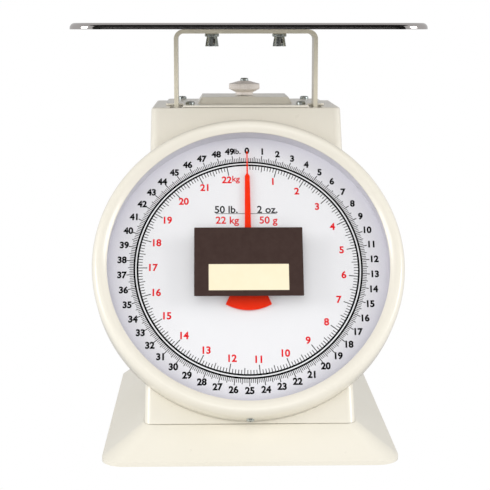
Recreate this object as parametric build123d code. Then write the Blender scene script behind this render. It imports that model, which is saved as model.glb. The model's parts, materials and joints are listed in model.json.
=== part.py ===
"""Mechanical dial platform scale with an inclined dial, spring balance and rack-and-pinion pointer drive.

Millimetres, +Z up, the dial faces -Y. The origin is under the middle of the whole scale's bounding box.
Lengths along Y are first measured from the yoke's centre plane, then moved by SHIFT_Y when written.
Pieces of the dial and the movement are drawn square to the face and laid on it by on_face().
"""
from build123d import *
import math
import os

# ---- overall sizes ----
PLATFORM_SIZE = 240.0
PLATFORM_TOP_Z = 292.0
BASE_WIDTH = 200.2
BASE_FRONT = 149.6
BASE_REAR = 98.0
HOUSING_TOP_Z = 230.6
HOUSING_TOP_WIDTH = 140.0
HOUSING_BOTTOM_WIDTH = 143.7
HOUSING_TOP_FRONT = 13.0
HOUSING_REAR = 84.8
FACE_LEAN = 28.93
DECK_Z = 23.3

# ---- sheet metal and general fits ----
SHEET = 1.2
SEAM = 0.3
SLIDE_GAP = 0.4
RUNNING_GAP = 0.04
SCREW_HOLE_GAP = 0.25

# ---- platform and yoke ----
PAN_SHEET = 1.0
PAN_RIM_HEIGHT = 4.2
PAN_EDGE_RADIUS = 3.4
PAN_CORNER_RADIUS = 25.0
YOKE_WIDTH = 106.0
YOKE_THICK = 3.0
YOKE_DEPTH = 20.0
YOKE_TOP_Z = 287.5
YOKE_BEND = 7.0
YOKE_LEG_BOTTOM_Z = 128.0
CLIP_X = 25.0
STUD_RADIUS = 2.4
CLIP_GAP = 0.3
CLIP_BORE = STUD_RADIUS + CLIP_GAP
CLIP_WALL = 1.2
CLIP_FLANGE_RADIUS = 5.3
CLIP_FLANGE_HEIGHT = 2.4
CLIP_SPLAY = 1.1
CLIP_LENGTH = 9.4
BOSS_RADIUS = 8.5

# ---- base ----
RIM_BOTTOM_Z = 1.0
RIM_TOP_Z = 3.8
BASE_CORNER_RADIUS = 16.0
DECK_CORNER_RADIUS = 9.0
DECK_MARGIN = 1.0
FOOT_RADIUS = 8.0
FOOT_X = 78.0
BOTTOM_PLATE_Z = 2.6
BOTTOM_PLATE_GAP = 0.9

# ---- housing ----
HOUSING_EDGE_RADIUS = 5.5
HOUSING_TOP_RADIUS = 2.0
LEG_SLOT_OFFSET = 0.5
LEG_SLOT_X = YOKE_WIDTH / 2 - YOKE_THICK / 2 + LEG_SLOT_OFFSET
LEG_SLOT_WIDTH = 9.0
LEG_SLOT_CLEAR = 2.3
LEG_SLOT_DEPTH = YOKE_DEPTH + 2 * LEG_SLOT_CLEAR
FLANGE_WIDTH = 10.0
TAB_X = 40.0
TAB_WIDTH = 5.0

# ---- top cover and zero knob ----
COVER_FRONT_WIDTH = 93.0
COVER_REAR_WIDTH = 120.0
COVER_FRONT = 12.4
COVER_STEP_Y = 13.6
COVER_REAR_Y = 83.0
RAISED_PAN_WIDTH = 72.5
RAISED_PAN_FRONT_Y = 13.0
RAISED_PAN_REAR_Y = 77.0
RAISED_PAN_HEIGHT = 4.7
RAISED_PAN_SLOPE = 3.4
KNOB_Y = 44.7
KNOB_RADIUS = 11.9
KNOB_NECK_RADIUS = 6.8
KNOB_NECK_HEIGHT = 2.2
KNOB_TAPER_HEIGHT = 1.9
KNOB_RIM_HEIGHT = 4.6
KNOB_CONE_HEIGHT = 2.0
KNOB_ROUND = 0.8
KNOB_FLUTES = 44
KNOB_SCREW_HEAD = 3.1

# ---- dial, bezel and lens, measured square to the face ----
DIAL_DROP = 126.3
BEZEL_RADIUS = 109.0
WINDOW_RADIUS = 98.35
BEZEL_SHEET = 1.1
BEZEL_HEIGHT = 21.0
BEZEL_SHOULDER = 13.5
LENS_RADIUS = 103.2
LENS_THICK = 1.8
LENS_LEVEL = 15.1
DIAL_LEVEL = 5.4
DIAL_SHEET = 0.8
DIAL_SEAT_RADIUS = 97.0
PAN_WALL_HEIGHT = 11.0
BEZEL_SCREW_LEVEL = 7.6
SPACER_SETBACK = 0.85
POINTER_LEVEL = 6.9
POINTER_SHEET = 0.6
POINTER_LENGTH = 88.0
POINTER_NEEDLE_START = 68.6
NEEDLE_BASE_HALF = 0.55
NEEDLE_TIP_HALF = 0.35
POINTER_WIDTH = 5.0
POINTER_HEEL_RADIUS = 32.0
POINTER_HEEL_WIDTH = 32.0
HEEL_SIDE = 6.0
HEEL_TAPER = 0.84
LABEL_WIDTH = 75.8
LABEL_HEIGHT = 50.3
LABEL_RISE = 0.4
LABEL_THICK = 0.2

# ---- movement ----
MODULE = 0.4
PINION_TEETH = 16
PINION_FACE = 8.0
PRESSURE_ANGLE = 20.0
BACKLASH = 0.09
SHAFT_RADIUS = 1.5
MOVEMENT_WIDTH = 50.0
MOVEMENT_HEIGHT = 42.0
MOVEMENT_PLATE = 2.0
MOVEMENT_DEPTH = 28.0
PILLAR_RADIUS = 2.5
PINION_LEVEL = -18.0
RACK_THICK = 6.0
RACK_BACK_X = 9.0
RACK_PIN_RISE = 48.0
RACK_PIN_RADIUS = 1.5
FACE_HOLE_RADIUS = 42.0

# ---- load frame, springs and levers ----
LOAD_FRAME_X = YOKE_WIDTH / 2 - YOKE_THICK
LOAD_FRAME_SHEET = 2.0
LOAD_FRAME_TOP_Z = 168.0
LOAD_FRAME_BOTTOM_Z = 96.0
SPRING_X = 30.0
SPRING_OUTER = 9.0
SPRING_WIRE = 2.5
HOOK_RADIUS = 6.0
LUG_END = 4.0
LUG_EYE_RADIUS = 2.6
UPPER_EYE_Z = 200.0
LOWER_EYE_Z = 116.0
CROSSHEAD_Z = 206.0
CROSSHEAD_THICK = 5.0
CROSSHEAD_WIDTH = 84.0
SCREW_RADIUS = 2.5
BACK_FRAME_Y = 72.0
BACK_FRAME_SHEET = 2.0
BACK_FRAME_WIDTH = 96.0
BRACKET_Z = 219.0
LEVER_PIVOT_Y = 64.0
LEVER_PIN_Y = 18.0
LEVER_SHEET = 2.0
LEVER_PIN_RADIUS = 2.0
UPPER_LEVER_Z = 156.0
LOWER_LEVER_Z = 108.0

# ---- values that follow from the ones above ----
SHIFT_Y = (BASE_FRONT - PLATFORM_SIZE / 2) / 2
LEAN = math.radians(FACE_LEAN)
FACE_NORMAL = Vector(0, -math.cos(LEAN), math.sin(LEAN))
FACE_UP = Vector(0, math.sin(LEAN), math.cos(LEAN))
FACE_CENTRE = Vector(0, -HOUSING_TOP_FRONT, HOUSING_TOP_Z) - FACE_UP * DIAL_DROP
HOUSING_BOTTOM_Z = DECK_Z + SEAM
PITCH_RADIUS = MODULE * PINION_TEETH / 2
PLATFORM_TRAVEL = 2 * math.pi * PITCH_RADIUS * math.cos(LEAN)
RACK_TRAVEL = PLATFORM_TRAVEL / math.cos(LEAN)
COVER_TOP_Z = HOUSING_TOP_Z + SEAM + SHEET
RAISED_PAN_TOP_Z = COVER_TOP_Z + RAISED_PAN_HEIGHT
KNOB_BOTTOM_Z = RAISED_PAN_TOP_Z + 0.5
KNOB_RIM_Z = KNOB_BOTTOM_Z + KNOB_NECK_HEIGHT + KNOB_TAPER_HEIGHT
KNOB_TOP_Z = KNOB_RIM_Z + KNOB_RIM_HEIGHT + KNOB_CONE_HEIGHT
LOAD_FRAME_FRONT = YOKE_DEPTH / 2
LOAD_FRAME_REAR = KNOB_Y + SPRING_OUTER


def face_y(z):
    """Y of the leaning front face at height z."""
    return -HOUSING_TOP_FRONT - (HOUSING_TOP_Z - z) * math.tan(LEAN)


def block(x, y, z):
    """A box given by its low and high limits along each axis."""
    size = (x[1] - x[0], y[1] - y[0], z[1] - z[0])
    return Pos((x[0] + x[1]) / 2, (y[0] + y[1]) / 2, (z[0] + z[1]) / 2) * Box(*size)


def rod_z(x, y, z, radius):
    return Pos(x, y, (z[0] + z[1]) / 2) * Cylinder(radius, z[1] - z[0])


def rod_x(x, y, z, radius):
    return Pos((x[0] + x[1]) / 2, y, z) * Rot(0, 90, 0) * Cylinder(radius, x[1] - x[0])


def rod_y(x, y, z, radius):
    return Pos(x, (y[0] + y[1]) / 2, z) * Rot(90, 0, 0) * Cylinder(radius, y[1] - y[0])


def on_face(shape):
    """Lay a shape drawn about the dial's centre, with +Z outwards and +Y up the face, on the leaning face."""
    plane = Plane(origin=FACE_CENTRE, x_dir=Vector(1, 0, 0), z_dir=FACE_NORMAL)
    return plane.location * shape


def pan_head_screw(radius, head_radius, head_height, length):
    """A cross-recessed pan-head screw pointing down, with its head's underside at the origin."""
    head = Pos(0, 0, head_height / 2) * Cylinder(head_radius, head_height)
    head = fillet(head.edges().sort_by(Axis.Z)[-1], head_height * 0.55)
    recess_length = head_radius * 1.1
    recess_width = head_radius * 0.22
    for length_x, length_y in ((recess_length, recess_width), (recess_width, recess_length)):
        head -= Pos(0, 0, head_height) * Box(length_x, length_y, head_height)
    return head + Pos(0, 0, -length / 2) * Cylinder(radius, length)


def slab(width, y, z, radius):
    """A flat plate with rounded corners, centred on X."""
    sketch = Pos(0, (y[0] + y[1]) / 2, z[0]) * RectangleRounded(width, y[1] - y[0], radius)
    return extrude(sketch, z[1] - z[0])


# ---- platform and yoke ----

def platform_pan():
    outer = slab(PLATFORM_SIZE, (-PLATFORM_SIZE / 2, PLATFORM_SIZE / 2),
                 (PLATFORM_TOP_Z - PAN_RIM_HEIGHT, PLATFORM_TOP_Z), PAN_CORNER_RADIUS)
    outer = fillet(outer.faces().sort_by(Axis.Z)[-1].edges(), PAN_EDGE_RADIUS)
    inner_size = PLATFORM_SIZE - 2 * PAN_SHEET
    inner = slab(inner_size, (-inner_size / 2, inner_size / 2),
                 (PLATFORM_TOP_Z - PAN_RIM_HEIGHT - PAN_SHEET, PLATFORM_TOP_Z - PAN_SHEET),
                 PAN_CORNER_RADIUS - PAN_SHEET)
    inner = fillet(inner.faces().sort_by(Axis.Z)[-1].edges(), PAN_EDGE_RADIUS - PAN_SHEET)
    return outer - inner


def platform_studs():
    """Two stepped studs welded under the platform: a wide boss sits on the yoke, a pin enters its clip."""
    studs = []
    pin_bottom = YOKE_TOP_Z - YOKE_THICK - CLIP_LENGTH + 1.5
    for side in (-1, 1):
        boss = rod_z(side * CLIP_X, 0, (YOKE_TOP_Z, PLATFORM_TOP_Z - PAN_SHEET), BOSS_RADIUS)
        pin = rod_z(side * CLIP_X, 0, (pin_bottom, YOKE_TOP_Z), STUD_RADIUS)
        pin = chamfer(pin.edges().sort_by(Axis.Z)[0], STUD_RADIUS * 0.4)
        studs.append(boss + pin)
    return studs


def yoke():
    outer = slab_profile(YOKE_WIDTH, YOKE_TOP_Z, YOKE_BEND)
    inner = slab_profile(YOKE_WIDTH - 2 * YOKE_THICK, YOKE_TOP_Z - YOKE_THICK, YOKE_BEND - YOKE_THICK)
    bar = outer - inner
    for side in (-1, 1):
        bar -= rod_z(side * CLIP_X, 0, (YOKE_TOP_Z - 2 * YOKE_THICK, YOKE_TOP_Z + 1), CLIP_BORE + CLIP_WALL)
        for z in yoke_screw_heights():
            bar -= rod_x((side * YOKE_WIDTH / 2 - YOKE_THICK * 2, side * YOKE_WIDTH / 2 + YOKE_THICK * 2),
                         0, z, SCREW_RADIUS + SCREW_HOLE_GAP)
    return bar


def slab_profile(width, top, radius):
    """An upright tongue as deep as the yoke, with its two top corners rounded."""
    tongue = block((-width / 2, width / 2), (-YOKE_DEPTH / 2, YOKE_DEPTH / 2), (YOKE_LEG_BOTTOM_Z, top))
    top_edges = tongue.edges().filter_by(Axis.Y).sort_by(Axis.Z)[-2:]
    return fillet(top_edges, radius)


def yoke_screw_heights():
    return (YOKE_LEG_BOTTOM_Z + 8.0, LOAD_FRAME_TOP_Z - 8.0)


def spring_clips():
    """Two snap sockets pressed into the yoke's bar, each with a flange and four splayed prongs."""
    clips = []
    bar_bottom = YOKE_TOP_Z - YOKE_THICK
    tip = bar_bottom - CLIP_LENGTH
    outer = CLIP_BORE + CLIP_WALL
    for side in (-1, 1):
        sleeve = rod_z(0, 0, (bar_bottom - CLIP_FLANGE_HEIGHT, YOKE_TOP_Z - 0.2), outer)
        flange = rod_z(0, 0, (bar_bottom - CLIP_FLANGE_HEIGHT, bar_bottom), CLIP_FLANGE_RADIUS)
        flange = fillet(flange.edges().filter_by(GeomType.CIRCLE), 0.8)
        skirt_height = bar_bottom - CLIP_FLANGE_HEIGHT - tip
        skirt = Pos(0, 0, tip + skirt_height / 2) * Cone(outer + CLIP_SPLAY, outer, skirt_height)
        skirt -= Pos(0, 0, tip + skirt_height / 2) * Cone(CLIP_BORE + CLIP_SPLAY, CLIP_BORE, skirt_height)
        clip = sleeve + flange - rod_z(0, 0, (tip - 1, YOKE_TOP_Z + 1), CLIP_BORE) + skirt
        for turn in (0, 90):
            clip -= Pos(0, 0, tip + 2.6) * Rot(0, 0, turn + 20) * Box(4 * outer, 1.8, 5.6)
        clips.append(Pos(side * CLIP_X, 0, 0) * clip)
    return clips


def yoke_screws():
    """Screws through the yoke's legs into the load frame, heads outwards."""
    screws = []
    for side in (-1, 1):
        for z in yoke_screw_heights():
            screw = pan_head_screw(SCREW_RADIUS, 4.2, 2.2, YOKE_THICK + LOAD_FRAME_SHEET)
            screws.append(Pos(side * YOKE_WIDTH / 2, 0, z) * Rot(0, side * 90, 0) * screw)
    return screws


# ---- base ----

def base_body(inset):
    """The flared base as a solid; inset makes the smaller solid that hollows it."""
    width = BASE_WIDTH - 2 * inset
    depth = BASE_FRONT + BASE_REAR - 2 * inset
    middle = (BASE_REAR - BASE_FRONT) / 2
    deck_front = face_y(DECK_Z) - DECK_MARGIN + inset
    deck_rear = HOUSING_REAR + DECK_MARGIN - inset
    deck_width = HOUSING_BOTTOM_WIDTH + 2 * DECK_MARGIN - 2 * inset
    rim = Pos(0, middle, RIM_BOTTOM_Z - inset) * RectangleRounded(width, depth, BASE_CORNER_RADIUS - inset)
    lower = extrude(rim, RIM_TOP_Z - RIM_BOTTOM_Z)
    ring = Pos(0, middle, RIM_TOP_Z - inset) * RectangleRounded(width, depth, BASE_CORNER_RADIUS - inset)
    deck = Pos(0, (deck_front + deck_rear) / 2, DECK_Z - inset) * RectangleRounded(
        deck_width, deck_rear - deck_front, DECK_CORNER_RADIUS - inset)
    return lower + loft([ring, deck])


def base_pan():
    pan = base_body(0) - base_body(SHEET)
    pan -= block((-52, 52), (-88, 56), (DECK_Z - 2 * SHEET, DECK_Z + 1))
    for x, y in base_screw_places():
        pan -= rod_z(x, y, (DECK_Z - 2 * SHEET, DECK_Z + 1), 2.0 + SCREW_HOLE_GAP)
    for side in (-1, 1):
        pan -= tab_block(side, SLIDE_GAP, DECK_Z - 2 * SHEET)
    return pan


def base_screw_places():
    x = HOUSING_BOTTOM_WIDTH / 2 - SHEET - FLANGE_WIDTH / 2
    return [(side * x, y) for side in (-1, 1) for y in (-96.0, 66.0)]


def tab_block(side, gap, bottom):
    """A locating tab under the housing's front wall; gap widens it into its slot in the deck."""
    front = face_y(HOUSING_BOTTOM_Z) + 0.6
    return block((side * TAB_X - TAB_WIDTH / 2 - gap, side * TAB_X + TAB_WIDTH / 2 + gap),
                 (front - gap, front + SHEET + gap), (bottom, HOUSING_BOTTOM_Z + 0.6))


def base_screws():
    return [Pos(x, y, DECK_Z - SHEET) * Rot(180, 0, 0) * pan_head_screw(2.0, 3.6, 2.0, 4.5)
            for x, y in base_screw_places()]


def plate_margin():
    """How far inside the base the bottom plate's edge stays, to clear the flare at the plate's top."""
    height = BOTTOM_PLATE_Z + SHEET - (RIM_TOP_Z - SHEET)
    side = (BASE_WIDTH - HOUSING_BOTTOM_WIDTH) / 2
    spread = max(side, BASE_FRONT + face_y(DECK_Z), BASE_REAR - HOUSING_REAR) - DECK_MARGIN
    slope = spread / (DECK_Z - RIM_TOP_Z)
    return SHEET + slope * height + BOTTOM_PLATE_GAP


def bottom_plate():
    margin = plate_margin()
    width = BASE_WIDTH - 2 * margin
    y = (-BASE_FRONT + margin, BASE_REAR - margin)
    plate = slab(width, y, (BOTTOM_PLATE_Z, BOTTOM_PLATE_Z + SHEET), BASE_CORNER_RADIUS - margin)
    for x, y in foot_places():
        plate -= rod_z(x, y, (BOTTOM_PLATE_Z - 1, BOTTOM_PLATE_Z + 2 * SHEET), 2.5)
    return plate


def foot_places():
    return [(side * FOOT_X, y) for side in (-1, 1) for y in (-BASE_FRONT + 22.0, BASE_REAR - 22.0)]


def rubber_feet():
    """Four round feet, each with a plug pulled through the bottom plate."""
    feet = []
    for x, y in foot_places():
        pad = rod_z(x, y, (0, BOTTOM_PLATE_Z), FOOT_RADIUS)
        pad = fillet(pad.edges().sort_by(Axis.Z)[0], 1.0)
        plug = rod_z(x, y, (BOTTOM_PLATE_Z, BOTTOM_PLATE_Z + SHEET), 2.5)
        lip = rod_z(x, y, (BOTTOM_PLATE_Z + SHEET, BOTTOM_PLATE_Z + 2 * SHEET), 3.4)
        feet.append(pad + plug + lip)
    return feet


# ---- housing ----

def housing_body(inset):
    """The wedge-shaped housing as a solid; inset makes the smaller solid that hollows it."""
    slant = inset / math.cos(LEAN)
    top_z = HOUSING_TOP_Z - inset
    bottom_z = HOUSING_BOTTOM_Z - 2 * inset
    sections = []
    for z, width in ((bottom_z, HOUSING_BOTTOM_WIDTH), (top_z, HOUSING_TOP_WIDTH)):
        front = face_y(z) + slant
        rear = HOUSING_REAR + inset
        sketch = Pos(0, (front + rear) / 2, z) * Rectangle(width - 2 * inset, rear - front)
        sections.append(sketch)
    body = loft(sections, ruled=True)
    front_edges = [e for e in body.edges() if is_front_side_edge(e)]
    body = fillet(front_edges, HOUSING_EDGE_RADIUS - inset)
    top_edges = body.faces().sort_by(Axis.Z)[-1].edges()
    keep = [e for e in top_edges if e.center().Y < HOUSING_REAR - 1]
    return fillet(keep, HOUSING_TOP_RADIUS - inset)


def is_front_side_edge(edge):
    """True for the two edges where the leaning face meets the sides."""
    heights = [v.Z for v in edge.vertices()]
    return max(heights) - min(heights) > 10 and edge.center().Y < 0


def housing_shell():
    shell = housing_body(0) - housing_body(SHEET)
    x = HOUSING_BOTTOM_WIDTH / 2 - SHEET
    for side in (-1, 1):
        inner = side * (x - FLANGE_WIDTH)
        flange = block(sorted((side * x, inner)), (-110, HOUSING_REAR - 2),
                       (HOUSING_BOTTOM_Z, HOUSING_BOTTOM_Z + SHEET))
        shell += flange
        shell += tab_block(side, 0, DECK_Z - SHEET)
        slot_x = (side * LEG_SLOT_X - LEG_SLOT_WIDTH / 2, side * LEG_SLOT_X + LEG_SLOT_WIDTH / 2)
        slot_y = (-LEG_SLOT_DEPTH / 2, LEG_SLOT_DEPTH / 2)
        shell -= block(slot_x, slot_y, (HOUSING_TOP_Z - 5, HOUSING_TOP_Z + 1))
    for place_x, place_y in base_screw_places():
        shell -= rod_z(place_x, place_y, (HOUSING_BOTTOM_Z - 1, HOUSING_BOTTOM_Z + 2 * SHEET), 2.0)
    shell -= block((-36, 36), (2, 74), (HOUSING_TOP_Z - 5, HOUSING_TOP_Z + 1))
    for place_x, place_y in cover_screw_places():
        shell -= rod_z(place_x, place_y, (HOUSING_TOP_Z - 5, HOUSING_TOP_Z + 1), 1.75)
    shell -= on_face(Pos(0, 0, -SHEET) * Cylinder(FACE_HOLE_RADIUS, 6 * SHEET))
    for place_x, place_y in pan_screw_places():
        shell -= on_face(rod_z(place_x, place_y, (-4, 2), 2.0))
    return shell


def rear_cover():
    """The flat rear panel with a folded edge that fits inside the housing's sides."""
    z = (HOUSING_BOTTOM_Z, HOUSING_TOP_Z - HOUSING_TOP_RADIUS)
    half = HOUSING_TOP_WIDTH / 2 - SHEET - SLIDE_GAP
    y = (HOUSING_REAR + SEAM, HOUSING_REAR + SEAM + SHEET)
    panel = block((-HOUSING_TOP_WIDTH / 2, HOUSING_TOP_WIDTH / 2), y, z)
    panel = fillet(panel.edges().filter_by(Axis.Y), 4.0)
    for side in (-1, 1):
        panel += block(sorted((side * half, side * (half - SHEET))), (y[0] - 8, y[0]), (z[0] + 6, z[1] - 8))
    for x, place_z in rear_screw_places():
        panel -= rod_y(x, (y[0] - 10, y[1] + 1), place_z, 1.75 + SCREW_HOLE_GAP)
    return panel


def rear_screw_places():
    x = BACK_FRAME_WIDTH / 2 - 6
    return [(side * x, z) for side in (-1, 1) for z in (40.0, 214.0)]


def rear_screws():
    """Long screws that pull the rear cover onto the back frame."""
    length = HOUSING_REAR + SEAM - BACK_FRAME_Y + 3
    return [Pos(x, HOUSING_REAR + SEAM + SHEET, z) * Rot(-90, 0, 0) * pan_head_screw(1.75, 3.5, 2.0, length)
            for x, z in rear_screw_places()]


# ---- top cover and zero knob ----

def cover_screw_places():
    return [(-41.5, 3.0), (41.5, 3.0), (-49.0, 79.0), (49.0, 79.0)]


def raised_pan(inset, bottom_z):
    """The pressed-up middle of the top cover, with sloping sides."""
    top_z = RAISED_PAN_TOP_Z - inset
    depth = RAISED_PAN_REAR_Y - RAISED_PAN_FRONT_Y
    middle = (RAISED_PAN_REAR_Y + RAISED_PAN_FRONT_Y) / 2
    low = Pos(0, middle, bottom_z) * RectangleRounded(RAISED_PAN_WIDTH - 2 * inset, depth - 2 * inset, 3.0)
    trim = 2 * (inset + RAISED_PAN_SLOPE)
    high = Pos(0, middle, top_z) * RectangleRounded(RAISED_PAN_WIDTH - trim, depth - trim, 2.0)
    return loft([low, high])


def top_cover():
    z = (HOUSING_TOP_Z + SEAM, COVER_TOP_Z)
    plate = slab(COVER_FRONT_WIDTH, (-COVER_FRONT, COVER_REAR_Y), z, 1.5)
    plate += slab(COVER_REAR_WIDTH, (COVER_STEP_Y, COVER_REAR_Y), z, 3.0)
    plate += raised_pan(0, COVER_TOP_Z - SHEET / 2)
    plate -= raised_pan(SHEET, z[0] - 0.5)
    plate -= rod_z(0, KNOB_Y, (z[0] - 1, RAISED_PAN_TOP_Z + 1), SCREW_RADIUS + 1.0)
    for x, y in cover_screw_places():
        plate -= rod_z(x, y, (z[0] - 1, z[1] + 1), 1.75 + SCREW_HOLE_GAP)
    return plate


def cover_screws():
    return [Pos(x, y, COVER_TOP_Z) * Rot(0, 0, 37 * i) * pan_head_screw(1.75, 3.4, 2.3, 5.0)
            for i, (x, y) in enumerate(cover_screw_places())]


def zero_knob():
    """A round knob: neck, tapered underside, fluted grip rim and a shallow cone on top."""
    cone_z = KNOB_RIM_Z + KNOB_RIM_HEIGHT
    taper_z = KNOB_BOTTOM_Z + KNOB_NECK_HEIGHT
    neck = rod_z(0, 0, (KNOB_BOTTOM_Z, taper_z + 0.2), KNOB_NECK_RADIUS)
    taper = Pos(0, 0, taper_z + KNOB_TAPER_HEIGHT / 2) * Cone(
        KNOB_NECK_RADIUS + 0.6, KNOB_RADIUS - KNOB_ROUND, KNOB_TAPER_HEIGHT)
    rim = rod_z(0, 0, (KNOB_RIM_Z, cone_z), KNOB_RADIUS)
    rim = fillet(rim.edges().filter_by(GeomType.CIRCLE), KNOB_ROUND)
    cone = Pos(0, 0, cone_z + KNOB_CONE_HEIGHT / 2) * Cone(
        KNOB_RADIUS - KNOB_ROUND - 0.3, KNOB_SCREW_HEAD + 0.5, KNOB_CONE_HEIGHT)
    knob = neck + taper + rim + cone
    groove_radius = KNOB_RADIUS + 0.35
    for i in range(KNOB_FLUTES):
        angle = 2 * math.pi * i / KNOB_FLUTES
        place = (groove_radius * math.cos(angle), groove_radius * math.sin(angle))
        knob -= rod_z(*place, (KNOB_RIM_Z + KNOB_ROUND, cone_z - KNOB_ROUND), 0.6)
    knob -= rod_z(0, 0, (KNOB_BOTTOM_Z - 1, KNOB_TOP_Z + 1), SCREW_RADIUS)
    return Pos(0, KNOB_Y, 0) * knob


def knob_screw():
    """The screw that clamps the knob on the adjusting screw's end."""
    return Pos(0, KNOB_Y, KNOB_TOP_Z) * pan_head_screw(1.25, KNOB_SCREW_HEAD, 2.2, 6.0)


def adjusting_screw():
    """Threaded rod held between two collars at the bracket; it raises and lowers the crosshead."""
    rod = rod_z(0, KNOB_Y, (CROSSHEAD_Z - 6, KNOB_TOP_Z - 0.3), SCREW_RADIUS)
    for z in (BRACKET_Z - 2.4, BRACKET_Z + BACK_FRAME_SHEET + 0.4):
        rod += rod_z(0, KNOB_Y, (z, z + 2.0), SCREW_RADIUS + 2.0)
    return rod - rod_z(0, KNOB_Y, (KNOB_TOP_Z - 6.3, KNOB_TOP_Z), 1.25)


# ---- springs, crosshead, load frame ----

def spring_lug(side, foot_z, eye_z):
    """A lug with an eye for a spring's hook, standing up or down from its bar at foot_z."""
    end_z = eye_z + math.copysign(LUG_END, eye_z - foot_z)
    lug = block((side * SPRING_X - 6, side * SPRING_X + 6), (KNOB_Y - 1.25, KNOB_Y + 1.25),
                sorted((foot_z, end_z)))
    return lug - rod_y(side * SPRING_X, (KNOB_Y - 4, KNOB_Y + 4), eye_z, LUG_EYE_RADIUS)


def crosshead():
    bar = block((-CROSSHEAD_WIDTH / 2, CROSSHEAD_WIDTH / 2), (KNOB_Y - 6, KNOB_Y + 6),
                (CROSSHEAD_Z, CROSSHEAD_Z + CROSSHEAD_THICK))
    bar = fillet(bar.edges().filter_by(Axis.Z), 2.0)
    for side in (-1, 1):
        bar += spring_lug(side, CROSSHEAD_Z + 0.5, UPPER_EYE_Z)
    return bar - rod_z(0, KNOB_Y, (CROSSHEAD_Z - 4, CROSSHEAD_Z + 12), SCREW_RADIUS + RUNNING_GAP)


def extension_spring(side):
    """A close-wound spring drawn as its coil's sleeve with a hook ring at each end."""
    coil_top = UPPER_EYE_Z - 2 * HOOK_RADIUS
    coil_bottom = LOWER_EYE_Z + 2 * HOOK_RADIUS
    sleeve = rod_z(0, 0, (coil_bottom, coil_top), SPRING_OUTER)
    sleeve -= rod_z(0, 0, (coil_bottom - 1, coil_top + 1), SPRING_OUTER - SPRING_WIRE)
    for z in (coil_bottom - 1.0, coil_top - 2.0):
        sleeve += rod_z(0, 0, (z, z + 3.0), SPRING_OUTER - SPRING_WIRE / 2)
    spring = sleeve
    for z in (UPPER_EYE_Z - HOOK_RADIUS, LOWER_EYE_Z + HOOK_RADIUS):
        spring += Pos(0, 0, z) * Rot(0, 90, 0) * Torus(HOOK_RADIUS, SPRING_WIRE / 2)
    return Pos(side * SPRING_X, KNOB_Y, 0) * spring


def rack_pin_place():
    """Where the rack's pin lies at rest."""
    return FACE_CENTRE + FACE_UP * RACK_PIN_RISE + FACE_NORMAL * PINION_LEVEL


def load_frame():
    """The folded frame between the yoke's legs: it carries the springs' lower ends and drives the rack."""
    inner = LOAD_FRAME_X - LOAD_FRAME_SHEET
    z = (LOAD_FRAME_BOTTOM_Z, LOAD_FRAME_TOP_Z)
    frame = block((-LOAD_FRAME_X, LOAD_FRAME_X), (-LOAD_FRAME_FRONT, -LOAD_FRAME_FRONT + LOAD_FRAME_SHEET), z)
    frame -= block((-inner + 12, inner - 20), (-LOAD_FRAME_FRONT - 1, 0), (z[0] + 14, 128.0))
    for side in (-1, 1):
        frame += block(sorted((side * inner, side * LOAD_FRAME_X)), (-LOAD_FRAME_FRONT, 26.0), z)
        frame += block(sorted((side * inner, side * LOAD_FRAME_X)), (20.0, LOAD_FRAME_REAR), (z[0], z[0] + 16))
        frame += spring_lug(side, z[0] + 1.0, LOWER_EYE_Z)
        for height in yoke_screw_heights():
            frame -= rod_x(sorted((side * (inner - 1), side * (LOAD_FRAME_X + 1))), 0, height, SCREW_RADIUS)
        for height in (UPPER_LEVER_Z, LOWER_LEVER_Z):
            pin_x = sorted((side * inner, side * lever_outer_x()))
            frame += rod_x(pin_x, LEVER_PIN_Y, height, LEVER_PIN_RADIUS)
    frame += block((-inner, inner), (LOAD_FRAME_REAR - 18, LOAD_FRAME_REAR), (z[0], z[0] + LOAD_FRAME_SHEET))
    return frame + rack_arm()


def rack_arm():
    """The arm that reaches forward to the rack; the rack's pin slides along its level slot."""
    pin = rack_pin_place()
    advance = PLATFORM_TRAVEL * math.tan(LEAN)
    x = (RACK_BACK_X + 1.2, RACK_BACK_X + 1.2 + LOAD_FRAME_SHEET)
    front = pin.Y - advance - RACK_PIN_RADIUS - 3.6
    arm = block(x, (front, -LOAD_FRAME_FRONT + 1), (pin.Z - 4.2, pin.Z + 4.2))
    half = RACK_PIN_RADIUS + RUNNING_GAP
    slot = block((x[0] - 1, x[1] + 1), (pin.Y - advance - 0.5, pin.Y + 0.5), (pin.Z - half, pin.Z + half))
    for y in (pin.Y - advance - 0.5, pin.Y + 0.5):
        slot += rod_x((x[0] - 1, x[1] + 1), y, pin.Z, half)
    return arm - slot


def lever_outer_x():
    return LOAD_FRAME_X + SLIDE_GAP + LEVER_SHEET + 1.0


def guide_lever(height):
    """A pair of side arms on one cross shaft; their front slots ride on the load frame's pins."""
    arm_x = LOAD_FRAME_X + SLIDE_GAP
    tilt = math.degrees(math.atan2(PLATFORM_TRAVEL / 2, LEVER_PIVOT_Y - LEVER_PIN_Y))
    pivot_z = height - PLATFORM_TRAVEL / 2
    reach = math.hypot(LEVER_PIVOT_Y - LEVER_PIN_Y, PLATFORM_TRAVEL / 2)
    lever = rod_x((-arm_x - LEVER_SHEET, arm_x + LEVER_SHEET), 0, 0, 3.0)
    for side in (-1, 1):
        x = sorted((side * arm_x, side * (arm_x + LEVER_SHEET)))
        arm = block(x, (-reach, 0), (-4.5, 4.5)) + rod_x(x, 0, 0, 5.5) + rod_x(x, -reach, 0, 4.5)
        slot_half = LEVER_PIN_RADIUS + SLIDE_GAP
        arm -= block((x[0] - 1, x[1] + 1), (-reach - 1.0, -reach + 1.0), (-slot_half, slot_half))
        for y in (-reach - 1.0, -reach + 1.0):
            arm -= rod_x((x[0] - 1, x[1] + 1), y, 0, slot_half)
        lever += arm
    return Pos(0, LEVER_PIVOT_Y, pivot_z) * Rot(-tilt, 0, 0) * lever


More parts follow.
